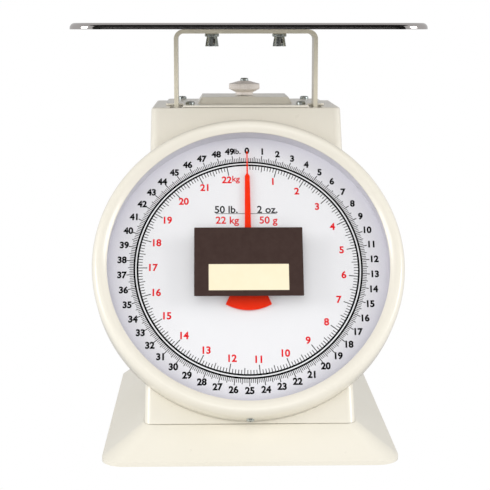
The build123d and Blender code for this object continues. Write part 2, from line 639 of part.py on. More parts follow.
def back_frame():
    """The fixed upright that holds the adjusting screw's bracket and the levers' pivots."""
    half = BACK_FRAME_WIDTH / 2
    y = (BACK_FRAME_Y, BACK_FRAME_Y + BACK_FRAME_SHEET)
    z = (HOUSING_BOTTOM_Z + SHEET, BRACKET_Z + BACK_FRAME_SHEET)
    frame = block((-half, half), y, z)
    frame -= block((-half + 14, half - 14), (y[0] - 1, y[1] + 1), (50, 95))
    frame -= block((-half + 14, half - 14), (y[0] - 1, y[1] + 1), (115, 200))
    frame += block((-half, half), (KNOB_Y - 9, y[1]), (BRACKET_Z, BRACKET_Z + BACK_FRAME_SHEET))
    frame += block((-half - 12, half + 12), (58, y[1]), (z[0], z[0] + BACK_FRAME_SHEET))
    for side in (-1, 1):
        for height in (UPPER_LEVER_Z, LOWER_LEVER_Z):
            pivot_z = height - PLATFORM_TRAVEL / 2
            ear = block(sorted((side * half, side * (half - BACK_FRAME_SHEET))),
                        (LEVER_PIVOT_Y - 6, y[1]), (pivot_z - 7, pivot_z + 7))
            frame += ear
            frame -= rod_x((side * half - 5, side * half + 5), LEVER_PIVOT_Y, pivot_z, 3.0 + RUNNING_GAP)
    frame -= rod_z(0, KNOB_Y, (BRACKET_Z - 1, BRACKET_Z + 4), SCREW_RADIUS + RUNNING_GAP)
    for x, place_z in rear_screw_places():
        frame -= rod_y(x, (y[0] - 1, y[1] + 1), place_z, 1.75)
    for x, place_y in base_screw_places():
        frame -= rod_z(x, place_y, (z[0] - 1, z[0] + 4), 2.0)
    return frame


# ---- dial ----

def ring(outer, inner, z):
    return rod_z(0, 0, z, outer) - rod_z(0, 0, (z[0] - 1, z[1] + 1), inner)


def dial_pan():
    """The round dish behind the dial: floor, outer wall and a raised seat for the dial plate."""
    wall = BEZEL_RADIUS - BEZEL_SHEET - SEAM
    pan = ring(wall, 12.0, (0.1, 1.1))
    pan += ring(wall, wall - SHEET, (0.1, PAN_WALL_HEIGHT))
    pan += ring(DIAL_SEAT_RADIUS, DIAL_SEAT_RADIUS - 2 * SHEET, (0.5, DIAL_LEVEL - DIAL_SHEET))
    for x, y in movement_corners():
        pan -= rod_z(x, y, (-1, 3), 1.5 + SCREW_HOLE_GAP)
    for x, y in pan_screw_places():
        pan -= rod_z(x, y, (-1, 3), 2.0 + SCREW_HOLE_GAP)
    pan -= bezel_screw_axis(rod_z(0, 0, (-6, 6), 1.5))
    return on_face(pan)


def pan_screw_places():
    return [(side_x * 50.0, side_y * 55.0) for side_x in (-1, 1) for side_y in (-1, 1)]


def pan_screws():
    return [on_face(Pos(x, y, 1.1) * pan_head_screw(2.0, 3.8, 2.2, 6.0)) for x, y in pan_screw_places()]


def dial_plate():
    plate = ring(BEZEL_RADIUS - BEZEL_SHEET - SEAM - SHEET - SEAM, 4.0, (DIAL_LEVEL - DIAL_SHEET, DIAL_LEVEL))
    return on_face(plate)


def spacer_ring():
    """The ring that holds the lens off the dial plate; its bore shows inside the window."""
    outer = LENS_RADIUS - 0.7
    return on_face(ring(outer, WINDOW_RADIUS + SPACER_SETBACK, (DIAL_LEVEL, LENS_LEVEL)))


def lens():
    disc = rod_z(0, 0, (LENS_LEVEL, LENS_LEVEL + LENS_THICK), LENS_RADIUS)
    return on_face(disc)


def lens_label():
    label = Pos(0, LABEL_RISE, LENS_LEVEL + LENS_THICK) * RectangleRounded(LABEL_WIDTH, LABEL_HEIGHT, 0.6)
    return on_face(extrude(label, LABEL_THICK))


def bezel():
    """The pressed ring over the dial pan, with a rolled front and a lip over the lens."""
    crown = (BEZEL_RADIUS + WINDOW_RADIUS) / 2 + 0.6
    lip_z = LENS_LEVEL + LENS_THICK + 0.1
    side_outer, side_inner = BEZEL_RADIUS, BEZEL_RADIUS - BEZEL_SHEET
    crown_inner_z = BEZEL_HEIGHT - BEZEL_SHEET
    with BuildSketch(Plane.XZ) as profile:
        with BuildLine():
            Line((side_inner, 0.3), (side_outer, 0.3))
            Line((side_outer, 0.3), (side_outer, BEZEL_SHOULDER))
            TangentArc((side_outer, BEZEL_SHOULDER), (crown, BEZEL_HEIGHT), tangent=(0, 1))
            TangentArc((WINDOW_RADIUS, lip_z + BEZEL_SHEET), (crown, BEZEL_HEIGHT), tangent=(0.55, 0.83))
            Line((WINDOW_RADIUS, lip_z + BEZEL_SHEET), (WINDOW_RADIUS, lip_z))
            ThreePointArc((WINDOW_RADIUS, lip_z), (WINDOW_RADIUS + 2.6, lip_z + 0.75), (crown, crown_inner_z))
            TangentArc((side_inner, BEZEL_SHOULDER), (crown, crown_inner_z), tangent=(0, 1))
            Line((side_inner, BEZEL_SHOULDER), (side_inner, 0.3))
        make_face()
    solid = revolve(profile.sketch, Axis.Z)
    solid -= bezel_screw_axis(rod_z(0, 0, (-6, 6), 1.5 + SCREW_HOLE_GAP))
    return on_face(solid)


def bezel_screw_axis(shape):
    """Stand a shape drawn along Z on the bezel's side wall at the bottom, pointing outwards."""
    return Pos(0, -BEZEL_RADIUS, BEZEL_SCREW_LEVEL) * Rot(90, 0, 0) * shape


def bezel_screw():
    return on_face(bezel_screw_axis(pan_head_screw(1.5, 2.6, 1.4, 4.0)))


# ---- pointer and movement ----

def pointer():
    """Blade with a needle tip, and a sector-shaped heel that balances it."""
    half = POINTER_WIDTH / 2
    heel_half = POINTER_HEEL_WIDTH / 2
    heel_y = -math.sqrt(POINTER_HEEL_RADIUS ** 2 - heel_half ** 2)
    neck = heel_half * HEEL_TAPER
    with BuildSketch() as outline:
        with BuildLine():
            Polyline((-half, 0), (-1.75, POINTER_NEEDLE_START), (-NEEDLE_BASE_HALF, POINTER_NEEDLE_START + 2),
                     (-NEEDLE_TIP_HALF, POINTER_LENGTH), (NEEDLE_TIP_HALF, POINTER_LENGTH),
                     (NEEDLE_BASE_HALF, POINTER_NEEDLE_START + 2),
                     (1.75, POINTER_NEEDLE_START), (half, 0), (neck, heel_y + HEEL_SIDE), (heel_half, heel_y))
            ThreePointArc((heel_half, heel_y), (0, -POINTER_HEEL_RADIUS), (-heel_half, heel_y))
            Polyline((-heel_half, heel_y), (-neck, heel_y + HEEL_SIDE), (-half, 0))
        make_face()
    blade = extrude(Pos(0, 0, POINTER_LEVEL) * outline.sketch, POINTER_SHEET)
    return on_face(blade - rod_z(0, 0, (POINTER_LEVEL - 1, POINTER_LEVEL + 2), 2.4))


def pointer_hub():
    hub = rod_z(0, 0, (POINTER_LEVEL - 0.8, POINTER_LEVEL), 3.4)
    hub += rod_z(0, 0, (POINTER_LEVEL, POINTER_LEVEL + POINTER_SHEET), 2.4)
    hub += rod_z(0, 0, (POINTER_LEVEL + POINTER_SHEET, POINTER_LEVEL + 1.8), 3.4)
    return on_face(hub - rod_z(0, 0, (POINTER_LEVEL - 2, POINTER_LEVEL + 3), SHAFT_RADIUS))


def involute_point(base_radius, radius, start_angle):
    """Point of an involute at this radius, turned by start_angle."""
    roll = math.sqrt(max((radius / base_radius) ** 2 - 1, 0))
    angle = start_angle + roll - math.atan(roll)
    return radius, angle


def pinion_outline():
    """The pinion's toothed outline, with one tooth gap centred on +X for the rack's tooth."""
    alpha = math.radians(PRESSURE_ANGLE)
    base_radius = PITCH_RADIUS * math.cos(alpha)
    root = PITCH_RADIUS - 1.2 * MODULE
    tip = PITCH_RADIUS + 0.85 * MODULE
    half_tooth = math.pi / 2 / PINION_TEETH - BACKLASH / 2 / PITCH_RADIUS
    flank_start = half_tooth + math.tan(alpha) - alpha
    steps = [base_radius + (tip - base_radius) * i / 4 for i in range(5)]
    points = []
    for tooth in range(PINION_TEETH):
        centre = 2 * math.pi * (tooth + 0.5) / PINION_TEETH
        flank = [involute_point(base_radius, r, 0) for r in steps]
        low = [(root, centre - flank_start)] + [(r, centre - flank_start + a) for r, a in flank]
        high = [(r, 2 * centre - a) for r, a in reversed(low)]
        points += [(r * math.cos(a), r * math.sin(a)) for r, a in low + high]
    return Polyline(*points, close=True)


def pinion_shaft():
    """Pinion and spindle in one piece; the spindle's front end carries the pointer."""
    pinion = extrude(Pos(0, 0, PINION_LEVEL - PINION_FACE / 2) * make_face(pinion_outline()), PINION_FACE)
    spindle = rod_z(0, 0, (-MOVEMENT_DEPTH - 1.0, POINTER_LEVEL + 2.2), SHAFT_RADIUS)
    collars = rod_z(0, 0, (-MOVEMENT_DEPTH + MOVEMENT_PLATE + 0.7, PINION_LEVEL - PINION_FACE / 2), 2.4)
    collars += rod_z(0, 0, (PINION_LEVEL + PINION_FACE / 2, -MOVEMENT_PLATE - 0.7), 2.4)
    return on_face(pinion + spindle + collars)


def rack():
    """A toothed bar beside the pinion, parallel to the face, with an eye for its pin at the top."""
    pitch = math.pi * MODULE
    slope = math.tan(math.radians(PRESSURE_ANGLE))
    addendum = 0.85 * MODULE
    dedendum = 1.2 * MODULE
    half_tooth = pitch / 4 - BACKLASH / 2
    root_x = PITCH_RADIUS + dedendum
    tip_x = PITCH_RADIUS - addendum
    first, last = -3, int(RACK_TRAVEL / pitch) + 4
    points = [(RACK_BACK_X, first * pitch - pitch), (root_x, first * pitch - pitch)]
    for i in range(first, last + 1):
        root_half = half_tooth + dedendum * slope
        tip_half = half_tooth - addendum * slope
        points += [(root_x, i * pitch - root_half), (tip_x, i * pitch - tip_half)]
        points += [(tip_x, i * pitch + tip_half), (root_x, i * pitch + root_half)]
    top = RACK_PIN_RISE + 4.0
    points += [(root_x, top), (RACK_BACK_X, top)]
    outline = make_face(Polyline(*points, close=True))
    bar = extrude(Pos(0, 0, PINION_LEVEL - RACK_THICK / 2) * outline, RACK_THICK)
    bar -= rod_x((root_x - 1, RACK_BACK_X + 1), RACK_PIN_RISE, PINION_LEVEL, RACK_PIN_RADIUS)
    return on_face(bar)


def rack_pin():
    end = RACK_BACK_X + 1.2 + LOAD_FRAME_SHEET + 1.0
    return on_face(rod_x((PITCH_RADIUS + 1.2 * MODULE, end), RACK_PIN_RISE, PINION_LEVEL, RACK_PIN_RADIUS))


def rack_guide():
    """The block behind the rack that keeps its teeth in mesh."""
    x = (RACK_BACK_X + 0.15, RACK_BACK_X + 6.0)
    guide = block(x, (-9, 9), (-MOVEMENT_DEPTH + MOVEMENT_PLATE, PINION_LEVEL + RACK_THICK / 2 + 1.5))
    return on_face(guide)


def movement_corners():
    x = MOVEMENT_WIDTH / 2 - 4
    y = MOVEMENT_HEIGHT / 2 - 4
    return [(side_x * x, side_y * y) for side_x in (-1, 1) for side_y in (-1, 1)]


def movement_plate(z):
    plate = extrude(Pos(0, 0, z[0]) * RectangleRounded(MOVEMENT_WIDTH, MOVEMENT_HEIGHT, 4.0), z[1] - z[0])
    plate -= rod_z(0, 0, (z[0] - 1, z[1] + 1), 4.0)
    for x, y in movement_corners():
        plate -= rod_z(x, y, (z[0] - 1, z[1] + 1), 1.5 + SCREW_HOLE_GAP)
    return on_face(plate)


def movement_pillars():
    z = (-MOVEMENT_DEPTH + MOVEMENT_PLATE, -MOVEMENT_PLATE)
    pillar = ring(PILLAR_RADIUS + 1.0, 1.5, z)
    return [on_face(pillar.moved(Location((x, y, 0)))) for x, y in movement_corners()]


def movement_screws():
    """Four long screws from the dial pan through plates and pillars."""
    return [on_face(Pos(x, y, 1.1) * pan_head_screw(1.5, 2.9, 1.8, MOVEMENT_DEPTH + 2.5))
            for x, y in movement_corners()]


def shaft_bushes():
    bushes = []
    for z in (-MOVEMENT_DEPTH, -MOVEMENT_PLATE):
        bush = rod_z(0, 0, (z, z + MOVEMENT_PLATE), 4.0)
        bush -= rod_z(0, 0, (z - 1, z + MOVEMENT_PLATE + 1), SHAFT_RADIUS + RUNNING_GAP)
        bushes.append(on_face(bush))
    return bushes


def write(name, shape):
    """Move a node to its place along Y and write it."""
    solids = shape if isinstance(shape, list) else [shape]
    placed = [Pos(0, SHIFT_Y, 0) * solid for solid in solids]
    whole = placed[0] if len(placed) == 1 else Compound(children=placed)
    export_step(whole, f"parts/{name}.step")


def main():
    os.makedirs("parts", exist_ok=True)
    nodes = {
        "platform_pan": platform_pan(), "platform_studs": platform_studs(), "yoke": yoke(),
        "spring_clips": spring_clips(), "yoke_screws": yoke_screws(), "load_frame": load_frame(),
        "base_pan": base_pan(), "bottom_plate": bottom_plate(), "rubber_feet": rubber_feet(),
        "base_screws": base_screws(), "housing_shell": housing_shell(), "rear_cover": rear_cover(),
        "rear_cover_screws": rear_screws(), "top_cover": top_cover(), "top_cover_screws": cover_screws(),
        "zero_knob": zero_knob(), "zero_knob_screw": knob_screw(), "adjusting_screw": adjusting_screw(),
        "crosshead": crosshead(), "left_spring": extension_spring(-1), "right_spring": extension_spring(1),
        "back_frame": back_frame(), "upper_guide_lever": guide_lever(UPPER_LEVER_Z),
        "lower_guide_lever": guide_lever(LOWER_LEVER_Z), "dial_pan": dial_pan(),
        "dial_pan_screws": pan_screws(), "dial_plate": dial_plate(), "spacer_ring": spacer_ring(),
        "lens": lens(), "lens_label": lens_label(), "bezel": bezel(), "bezel_screw": bezel_screw(),
        "pointer": pointer(), "pointer_hub": pointer_hub(), "pinion_shaft": pinion_shaft(),
        "rack": rack(), "rack_pin": rack_pin(), "rack_guide": rack_guide(),
        "movement_front_plate": movement_plate((-MOVEMENT_PLATE, 0)),
        "movement_rear_plate": movement_plate((-MOVEMENT_DEPTH, -MOVEMENT_DEPTH + MOVEMENT_PLATE)),
        "movement_pillars": movement_pillars(), "movement_screws": movement_screws(),
        "shaft_bushes": shaft_bushes(),
    }
    for name, shape in nodes.items():
        write(name, shape)


main()
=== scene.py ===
"""Looks for the dial platform scale: paint, steel, printed dial, lens, film, springs and studio."""
import bpy
import bmesh
import json
import math
from mathutils import Matrix, Vector


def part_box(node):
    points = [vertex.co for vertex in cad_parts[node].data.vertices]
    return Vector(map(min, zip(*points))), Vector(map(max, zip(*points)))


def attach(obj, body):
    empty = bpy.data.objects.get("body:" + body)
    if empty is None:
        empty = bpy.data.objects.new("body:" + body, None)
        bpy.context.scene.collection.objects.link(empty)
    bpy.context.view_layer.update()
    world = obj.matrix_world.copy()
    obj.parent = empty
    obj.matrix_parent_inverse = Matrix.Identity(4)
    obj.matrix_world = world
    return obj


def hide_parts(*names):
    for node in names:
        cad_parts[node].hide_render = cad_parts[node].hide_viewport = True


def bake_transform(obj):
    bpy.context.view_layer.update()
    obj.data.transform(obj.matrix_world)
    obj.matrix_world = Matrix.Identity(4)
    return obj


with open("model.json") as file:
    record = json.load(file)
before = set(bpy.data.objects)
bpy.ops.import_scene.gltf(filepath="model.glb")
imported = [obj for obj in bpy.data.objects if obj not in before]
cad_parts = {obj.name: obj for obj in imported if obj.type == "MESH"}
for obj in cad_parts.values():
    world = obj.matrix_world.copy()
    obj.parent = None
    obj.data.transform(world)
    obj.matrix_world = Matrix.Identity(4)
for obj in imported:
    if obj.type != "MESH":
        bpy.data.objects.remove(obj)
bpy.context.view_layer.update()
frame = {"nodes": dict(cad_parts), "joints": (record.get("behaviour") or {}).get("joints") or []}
MM = 0.001

# ---- the dial's own axes, from the pointer's joint: x right, y up the face, z outwards, in millimetres ----
POINTER_JOINT = next(j for j in frame["joints"] if j["name"] == "pointer_spin")
DIAL_CENTRE = Vector(POINTER_JOINT["pos_m"])
DIAL_NORMAL = -Vector(POINTER_JOINT["axis"]).normalized()
DIAL_UP = Vector((0, DIAL_NORMAL.z, -DIAL_NORMAL.y))
DIAL_FRAME = Matrix((
    (MM, DIAL_UP.x * MM, DIAL_NORMAL.x * MM, DIAL_CENTRE.x),
    (0, DIAL_UP.y * MM, DIAL_NORMAL.y * MM, DIAL_CENTRE.y),
    (0, DIAL_UP.z * MM, DIAL_NORMAL.z * MM, DIAL_CENTRE.z),
    (0, 0, 0, 1)))

# ---- dial print, millimetres ----
DIAL_LEVEL = 5.4
PRINT_LEVEL = DIAL_LEVEL + 0.03
PRINT_THICK = 0.02
OUTER_RING = (79.3, 80.6)
INNER_RING = (77.1, 78.4)
DIAL_CURVE_STEPS = 360

POUNDS = 50
KILOS = 22
POUNDS_PER_KILO = 2.20462
DEGREES_PER_POUND = 360 / POUNDS
DEGREES_PER_KILO = DEGREES_PER_POUND * POUNDS_PER_KILO

# a graduation's (length, width), by how many graduations it is past a whole pound or kilo
TICKS_PER_POUND = 8
POUND_TICKS = {0: (5.0, 0.60), 4: (3.8, 0.52)}
SMALL_POUND_TICK = (2.8, 0.46)
TICKS_PER_KILO = 10
KILO_TICKS = {0: (6.2, 0.60), 5: (4.2, 0.52)}
SMALL_KILO_TICK = (2.8, 0.50)
TICK_OVERLAP = 0.1

# numerals; the last one of each scale moves left to leave room for its unit
POUND_NUMERAL_RADIUS = 88.9
POUND_NUMERAL_SIZE = 6.5
POUND_WEIGHT = 0.30
LAST_POUND_SHIFT = -1.4
KILO_NUMERAL_RADIUS = 67.3
KILO_NUMERAL_SIZE = 7.1
KILO_WEIGHT = 0.24
LAST_KILO_SHIFT = -2.1
LETTER_CURVE_STEPS = 4
LETTER_WELD = 0.0005

# units and captions: text, x, y, size
CAPTION_SIZE = 7.6
CAPTION_WEIGHT = 0.14
UPPER_CAPTION_Y = 43.2
LOWER_CAPTION_Y = 35.1
POUND_CAPTIONS = (
    ("lb.", -7.1, POUND_NUMERAL_RADIUS - 0.5, 5.6),
    ("50 lb.", -15.3, UPPER_CAPTION_Y, CAPTION_SIZE),
    ("2 oz.", 14.1, UPPER_CAPTION_Y, CAPTION_SIZE),
)
KILO_CAPTIONS = (
    ("kg", -8.2, KILO_NUMERAL_RADIUS - 0.3, 6.2),
    ("22 kg", -14.6, LOWER_CAPTION_Y, CAPTION_SIZE),
    ("50 g", 14.6, LOWER_CAPTION_Y, CAPTION_SIZE),
)
# left, right, low, high
CAPTION_LINE = (-22.7, 20.6, 40.1, 40.5)

# ---- film on the lens, millimetres ----
FILM_TOP = 17.1
FILM_RISE = 0.4
BAND_WIDTH = 55.6
BAND_HEIGHT = 19.0
BAND_DROP = 11.5
BAND_THICK = 0.04

# ---- bezel profile, millimetres ----
BEZEL_RADIUS = 109.0
WINDOW_RADIUS = 98.35
BEZEL_HEIGHT = 21.0
BEZEL_FOOT = 0.3
BEZEL_WALL_MIDDLE = 7.0
BEZEL_SHOULDER = 13.5
BEZEL_SHEET = 1.1
BEZEL_STEPS = 256
CROWN_SHIFT = 0.6
CROWN_STEPS = 12
INNER_CROWN_STEPS = 8
SLOPE_STEPS = 6
SLOPE_CURVE = 1.8
LIP_LEVEL = 17.0
# the lip's rounded edge, as (out from the window, down from the lip's top)
LIP_EDGE = ((0.35, 0.0), (0.08, 0.3), (0.0, 0.6))
# the start of the inner face, as (out from the window, up from the lip's underside)
LIP_BACK = (2.6, 0.7)

# ---- springs, metres ----
SPRING_WIRE = 0.0025
WIRE_SIDES = 12
SPRING_COIL_RADIUS = 0.00775
SPRING_PITCH = 0.00262
COIL_STEPS_PER_TURN = 24
SPRING_HOOK_RADIUS = 0.006
HOOK_SHARE = 0.9
HOOK_START = 0.25
HOOK_STEPS = 24

# ---- studio, metres ----
BACKDROP_STRENGTH = 1.0
ROOM_STRENGTH = 0.62
FLOOR_REACH = 6.0
FLOOR_COLOUR = (0.72, 0.72, 0.72)
CARD_COLOUR = (0.004, 0.003, 0.003)
CARD_HALF = 1.3
CARD_FRONT = -1.5
CARD_BACK = -0.4
CARD_TOP = 1.8
CARD_GROUND = 0.004
# name, place, the point that the light faces, size, power
LIGHTS = (
    ("key", (-0.5, -2.2, 1.5), (0, 0, 0.15), 1.4, 7),
    ("front", (0, -2.4, 0.5), (0, 0, 0.2), 1.2, 12),
    ("left_box", (-1.6, -0.6, 0.7), (0, 0, 0.15), 0.7, 10),
    ("right_box", (1.6, -0.6, 0.7), (0, 0, 0.15), 0.7, 10),
)

# ---- camera ----
CAMERA_LENS = 99.2
CAMERA_SENSOR = 36
CAMERA_PLACE = (-0.0243, -0.9976, 0.290)
CAMERA_HEADING = (0.0235, 0.9997)
CAMERA_TILT = 9.214


# ================= materials =================

def shader(name, **values):
    """A Principled material; values are its sockets by name with spaces as underscores."""
    material = bpy.data.materials.new(name)
    material.use_nodes = True
    principled = material.node_tree.nodes["Principled BSDF"]
    for socket, value in values.items():
        principled.inputs[socket.replace("_", " ")].default_value = value
    return material, material.node_tree, principled


def link_noise(tree, scale, detail=4.0, roughness=0.6, stretch=(1, 1, 1)):
    """Noise that is fixed to the object's own coordinates."""
    place = tree.nodes.new("ShaderNodeTexCoord")
    mapping = tree.nodes.new("ShaderNodeMapping")
    mapping.inputs["Scale"].default_value = stretch
    noise = tree.nodes.new("ShaderNodeTexNoise")
    noise.inputs["Scale"].default_value = scale
    noise.inputs["Detail"].default_value = detail
    noise.inputs["Roughness"].default_value = roughness
    tree.links.new(place.outputs["Object"], mapping.inputs["Vector"])
    tree.links.new(mapping.outputs["Vector"], noise.inputs["Vector"])
    return noise.outputs["Fac"]


def link_colour(tree, principled, factor, stops):
    """Base colour from a ramp; stops are (place, colour)."""
    ramp = tree.nodes.new("ShaderNodeValToRGB")
    while len(ramp.color_ramp.elements) < len(stops):
        ramp.color_ramp.elements.new(0.5)
    for element, (place, colour) in zip(ramp.color_ramp.elements, stops):
        element.position = place
        element.color = (*colour, 1)
    tree.links.new(factor, ramp.inputs["Fac"])
    tree.links.new(ramp.outputs["Color"], principled.inputs["Base Color"])


def link_bump(tree, principled, factor, strength, distance):
    bump = tree.nodes.new("ShaderNodeBump")
    bump.inputs["Strength"].default_value = strength
    bump.inputs["Distance"].default_value = distance
    tree.links.new(factor, bump.inputs["Height"])
    tree.links.new(bump.outputs["Normal"], principled.inputs["Normal"])


def link_roughness(tree, principled, factor, low, high):
    spread = tree.nodes.new("ShaderNodeMapRange")
    spread.inputs["To Min"].default_value = low
    spread.inputs["To Max"].default_value = high
    tree.links.new(factor, spread.inputs["Value"])
    tree.links.new(spread.outputs["Result"], principled.inputs["Roughness"])


def cream_paint(name, light, dark):
    """Glossy stoved enamel with a faint orange peel and slight clouding."""
    material, tree, principled = shader(name, Coat_Weight=0.35, Coat_Roughness=0.12, Specular_IOR_Level=0.5)
    clouds = link_noise(tree, scale=9.0, detail=3.0)
    link_colour(tree, principled, clouds, [(0.3, dark), (0.7, light)])
    link_roughness(tree, principled, link_noise(tree, scale=60.0), low=0.24, high=0.36)
    orange_peel = link_noise(tree, scale=420.0, detail=2.0)
    link_bump(tree, principled, orange_peel, strength=0.10, distance=0.0004)
    return material


def metal(name, light, dark, roughness, scale, stretch=(1, 1, 1), bump=0.08):
    """Metal with a grain that is drawn out along the axes where stretch is least."""
    material, tree, principled = shader(name, Metallic=1.0)
    grain = link_noise(tree, scale, detail=5.0, roughness=0.65, stretch=stretch)
    link_colour(tree, principled, grain, [(0.25, dark), (0.75, light)])
    link_roughness(tree, principled, grain, *roughness)
    link_bump(tree, principled, grain, bump, distance=0.0002)
    return material


def plastic(name, light, dark, roughness, scale=140.0, bump=0.12):
    material, tree, principled = shader(name, Roughness=roughness)
    grain = link_noise(tree, scale)
    link_colour(tree, principled, grain, [(0.3, dark), (0.7, light)])
    link_bump(tree, principled, grain, bump, distance=0.0003)
    return material


def ink(name, light, dark):
    """Dull print, so that the room's reflection doesn't lift it."""
    material, tree, principled = shader(name, Roughness=0.8, Specular_IOR_Level=0.05)
    grain = link_noise(tree, scale=200.0, detail=2.0)
    link_colour(tree, principled, grain, [(0.3, dark), (0.7, light)])
    return material


def dial_enamel():
    """White enamel with painted shade: it cools and greys slightly towards the rim, where the bezel's shadow
    falls.
    """
    material, tree, principled = shader("dial_white_painted_rim_shade", Roughness=0.32, Coat_Weight=0.2)
    place = tree.nodes.new("ShaderNodeTexCoord")
    distance = tree.nodes.new("ShaderNodeVectorMath")
    distance.operation = "DISTANCE"
    distance.inputs[1].default_value = DIAL_CENTRE + DIAL_NORMAL * DIAL_LEVEL * MM
    tree.links.new(place.outputs["Object"], distance.inputs[0])
    share = tree.nodes.new("ShaderNodeMath")
    share.operation = "DIVIDE"
    share.inputs[1].default_value = WINDOW_RADIUS * MM
    tree.links.new(distance.outputs["Value"], share.inputs[0])
    # painted shadow of the bezel: the ramp darkens and cools the white from the centre out to the window's
    # rim
    link_colour(tree, principled, share.outputs["Value"], [
        (0.0, (0.95, 0.95, 0.965)), (0.80, (0.93, 0.93, 0.95)),
        (0.90, (0.86, 0.85, 0.89)), (1.0, (0.76, 0.75, 0.81))])
    grain = link_noise(tree, scale=300.0, detail=2.0)
    link_bump(tree, principled, grain, strength=0.05, distance=0.0002)
    return material


def clear_lens():
    material, tree, principled = shader(
        "lens_clear", Base_Color=(0.10, 0.10, 0.11, 1), Alpha=0.03, Specular_IOR_Level=0.3)
    link_roughness(tree, principled, link_noise(tree, scale=30.0), low=0.03, high=0.07)
    return material


MATERIALS = {
    "paint": cream_paint("cream_enamel", (0.87, 0.83, 0.73), (0.84, 0.80, 0.69)),
    # the yoke wears the same cream enamel, painted darker: painted shade from the platform above it
    "yoke_paint_painted_shade": cream_paint("cream_enamel_painted_shade_yoke", (0.70, 0.65, 0.51), (0.66, 0.61, 0.47)),
    "steel": metal("polished_stainless", (0.58, 0.55, 0.54), (0.54, 0.51, 0.50), (0.06, 0.10),
                   scale=30.0, stretch=(1, 6, 6), bump=0.01),
    "zinc": metal("zinc_plate", (0.62, 0.66, 0.65), (0.36, 0.40, 0.40), (0.2, 0.42), scale=500.0),
    "bare_steel": metal("bare_steel", (0.52, 0.52, 0.53), (0.40, 0.40, 0.41), (0.3, 0.5),
                        scale=90.0, stretch=(1, 1, 8)),
    "spring": metal("spring_wire", (0.42, 0.42, 0.43), (0.30, 0.30, 0.31), (0.25, 0.4), scale=300.0),
    "brass": metal("machined_brass", (0.80, 0.62, 0.28), (0.68, 0.50, 0.20), (0.2, 0.34),
                   scale=160.0, stretch=(1, 10, 1)),
    "rubber": plastic("foot_rubber", (0.035, 0.035, 0.036), (0.02, 0.02, 0.02), 0.75, scale=400.0, bump=0.3),
    "ivory": plastic("knob_ivory", (0.98, 0.92, 0.87), (0.95, 0.89, 0.84), 0.34),
    "nylon": plastic("guide_nylon", (0.80, 0.79, 0.74), (0.74, 0.73, 0.68), 0.45),
    "grey": plastic("ring_grey", (0.68, 0.67, 0.72), (0.64, 0.63, 0.68), 0.4),
    "dial": dial_enamel(),
    "lens": clear_lens(),
    "film": ink("film_brown", (0.058, 0.036, 0.031), (0.050, 0.030, 0.026)),
    "film_band": plastic("film_cream", (0.94, 0.85, 0.62), (0.92, 0.82, 0.58), 0.42, scale=90.0, bump=0.04),
    "ink_black": ink("ink_black", (0.004, 0.004, 0.004), (0.002, 0.002, 0.002)),
    "ink_red": ink("ink_red", (0.86, 0.012, 0.020), (0.78, 0.010, 0.016)),
    "pointer": ink("pointer_paint", (1.0, 0.035, 0.002), (0.94, 0.028, 0.002)),
}

NODE_FINISH = {
    "paint": ("base_pan", "housing_shell", "rear_cover", "top_cover"),
    "yoke_paint_painted_shade": ("yoke",),
    "steel": ("platform_pan", "platform_studs"),
    "zinc": ("spring_clips", "yoke_screws", "base_screws", "rear_cover_screws", "top_cover_screws",
             "zero_knob_screw", "bezel_screw", "dial_pan_screws", "movement_screws", "movement_pillars",
             "adjusting_screw", "rack_pin"),
    "bare_steel": ("load_frame", "back_frame", "crosshead", "upper_guide_lever", "lower_guide_lever",
                   "bottom_plate", "dial_pan"),
    "brass": ("pinion_shaft", "pointer_hub", "shaft_bushes", "movement_front_plate",
              "movement_rear_plate", "rack"),
    "rubber": ("rubber_feet",),
    "ivory": ("zero_knob",),
    "nylon": ("rack_guide",),
    "grey": ("spacer_ring",),
    "dial": ("dial_plate",),
    "lens": ("lens",),
    "film": ("lens_label",),
    "pointer": ("pointer",),
}


def finish_nodes():
    for key, names in NODE_FINISH.items():
        for name in names:
            mesh = frame["nodes"][name].data
            mesh.materials.clear()
            mesh.materials.append(MATERIALS[key])


# ================= mesh helpers =================

def piece(name, vertices, faces, material, body, smooth=True):
    mesh = bpy.data.meshes.new(name)
    mesh.from_pydata([tuple(v) for v in vertices], [], faces)
    return finish_piece(name, mesh, material, body, smooth)


def finish_piece(name, mesh, material, body, smooth=True):
    """Turns a mesh into a piece with its material, attached to its body; body is None for a piece that is
    attached to no body.
    """
    cleaned = bmesh.new()
    cleaned.from_mesh(mesh)
    bmesh.ops.recalc_face_normals(cleaned, faces=cleaned.faces)
    cleaned.to_mesh(mesh)
    cleaned.free()
    mesh.materials.clear()
    mesh.materials.append(MATERIALS[material])
    obj = bpy.data.objects.new(name, mesh)
    bpy.context.scene.collection.objects.link(obj)
    if smooth:
        mesh.shade_smooth()
    if body:
        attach(obj, body)
    return obj


def to_world(vertices):
    return [DIAL_FRAME @ Vector(v) for v in vertices]


def lathe(profile, steps):
    """Vertices and faces of a closed ring: profile is a closed list of (radius, height)."""
    vertices = []
    faces = []
    count = len(profile)
    for i in range(steps):
        angle = 2 * math.pi * i / steps
        vertices += [(r * math.cos(angle), r * math.sin(angle), h) for r, h in profile]
        for j in range(count):
            a, b = i * count + j, i * count + (j + 1) % count
            c, d = (i + 1) % steps * count + (j + 1) % count, (i + 1) % steps * count + j
            faces.append((a, b, c, d))
    return vertices, faces


def prism(outline, low, high):
    """Vertices and faces of a closed prism between two levels, from a list of (x, y)."""
    count = len(outline)
    vertices = [(x, y, level) for level in (low, high) for x, y in outline]
    faces = [tuple(range(count, 2 * count)), tuple(reversed(range(count)))]
    faces += [(i, (i + 1) % count, count + (i + 1) % count, count + i) for i in range(count)]
    return vertices, faces


def rectangle(left, right, low, high):
    return [(left, low), (right, low), (right, high), (left, high)]


def join_shapes(shapes):
    vertices, faces = [], []
    for shape_vertices, shape_faces in shapes:
        start = len(vertices)
        vertices += shape_vertices
        faces += [tuple(start + i for i in face) for face in shape_faces]
    return vertices, faces


# ================= bezel =================

